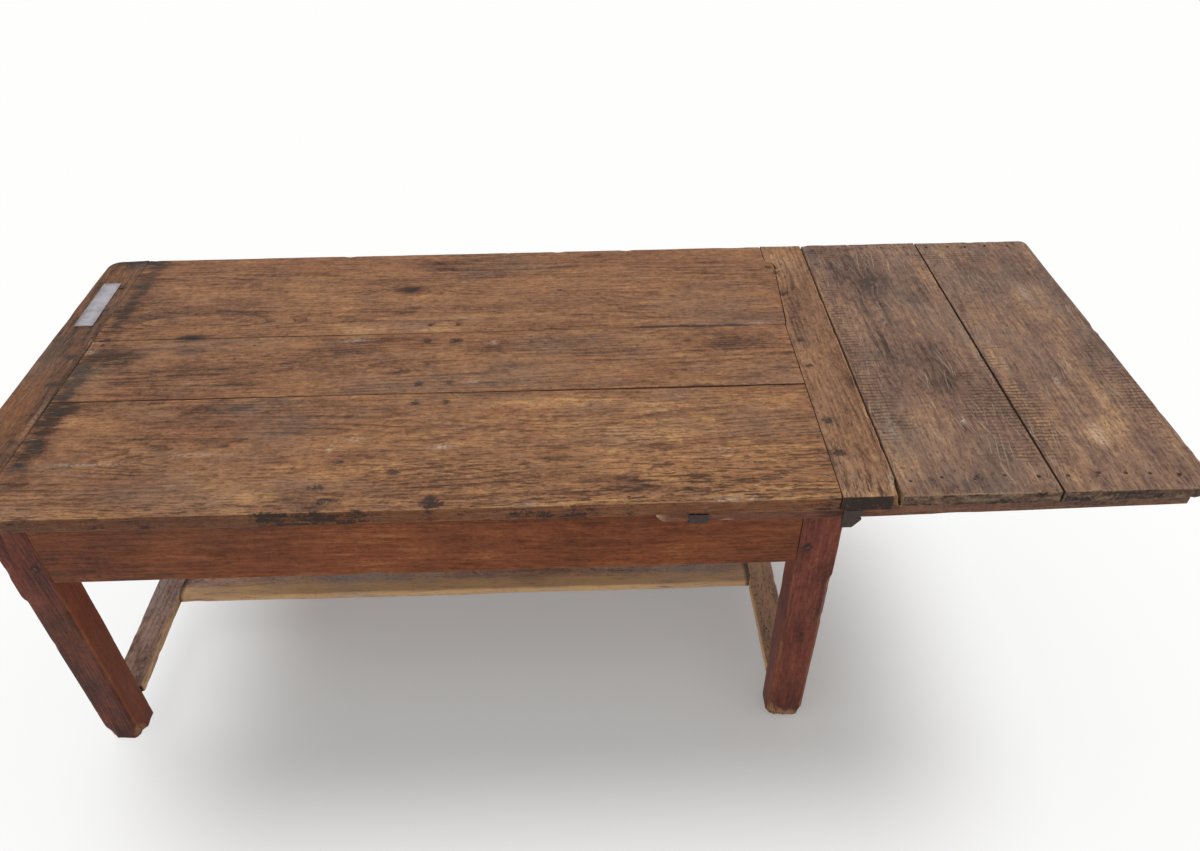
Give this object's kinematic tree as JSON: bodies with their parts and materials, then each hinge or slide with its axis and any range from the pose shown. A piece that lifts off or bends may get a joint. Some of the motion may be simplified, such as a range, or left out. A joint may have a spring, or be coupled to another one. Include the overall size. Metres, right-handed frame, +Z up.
{
  "type": "farmhouse table",
  "caption": "Long rectangular farmhouse table with breadboard ends, square legs, a low H stretcher and an end leaf whose arms slide in iron keepers under the top.",
  "frame": {"origin": "on the floor under the middle of the table and its leaf together", "axes": "+X along the table towards the leaf, +Y from the front to the rear, +Z up"},
  "size_m": [2.3646, 0.94, 0.75],
  "materials": {
    "top_oak": "worn waxed oak with golden streaks and dark stains",
    "leaf_oak": "weathered grey-brown oak with knife and saw marks",
    "frame_oak": "dark reddish-brown waxed oak, worn at the edges",
    "stretcher_oak": "grey-brown oak worn golden by feet",
    "peg_oak": "dark oak end grain",
    "wrought_iron": "dark hammered wrought iron with a little rust"
  },
  "bodies": {
    "table": {"leg_front_left": "frame_oak", "leg_front_right": "frame_oak", "leg_rear_left": "frame_oak", "leg_rear_right": "frame_oak", "apron_front": "frame_oak", "apron_rear": "frame_oak", "apron_left": "frame_oak", "apron_right": "frame_oak", "stretcher_left": "stretcher_oak", "stretcher_right": "stretcher_oak", "stretcher_long": "stretcher_oak", "apron_pegs": "peg_oak", "stretcher_pegs": "peg_oak", "top_board_front": "top_oak", "top_board_middle": "top_oak", "top_board_rear": "top_oak", "breadboard_left": "top_oak", "breadboard_right": "top_oak", "breadboard_pegs": "peg_oak", "top_tenon_front": "peg_oak", "top_tenon_rear": "peg_oak", "tenon_pegs": "peg_oak", "top_dowels": "peg_oak", "top_nails": "wrought_iron", "keeper_front_inner": "wrought_iron", "keeper_front_outer": "wrought_iron", "keeper_rear_inner": "wrought_iron", "keeper_rear_outer": "wrought_iron", "keeper_nails": "wrought_iron"},
    "leaf": {"leaf_board_inner": "leaf_oak", "leaf_board_outer": "leaf_oak", "leaf_arm_front": "leaf_oak", "leaf_arm_rear": "leaf_oak", "leaf_nails": "wrought_iron"}
  },
  "joints": [
    {"name": "leaf_slide", "type": "slide", "parent": "table", "child": "leaf", "axis": [1, 0, 0], "range_m": [0, 0.355]}
  ]
}
